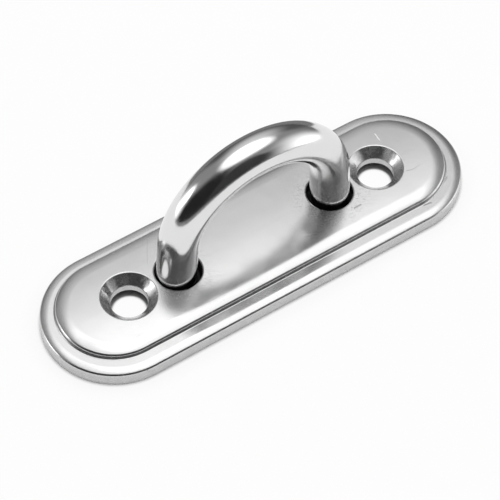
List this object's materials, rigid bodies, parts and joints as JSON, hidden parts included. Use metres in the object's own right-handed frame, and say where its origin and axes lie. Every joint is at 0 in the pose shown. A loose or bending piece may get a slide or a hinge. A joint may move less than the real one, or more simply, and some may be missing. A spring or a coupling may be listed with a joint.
{
  "type": "eye plate",
  "caption": "Polished stainless eye plate: a round-bar bow welded through an oblong pressed base plate, which is screwed down through two countersunk holes.",
  "frame": {"origin": "middle of the trimmed outline of the base plate, on its underside, which is the face that lies on the deck", "axes": "+X along the plate from screw hole to screw hole, +Y across it, +Z away from the deck through the crown of the bow. The wider side rim is on -Y."},
  "size_m": [0.0932, 0.0292, 0.0331],
  "materials": {
    "polished_plate": "polished stainless sheet with a light haze, fine scratches and small pits",
    "mirror_bar": "mirror-polished stainless round bar with a few hairline marks",
    "weld_bead": "pickled stainless weld bead, rippled and dull"
  },
  "bodies": {
    "root": {"base_plate": "polished_plate", "eye_bow": "mirror_bar", "left_leg_weld": "weld_bead", "right_leg_weld": "weld_bead"}
  },
  "joints": []
}
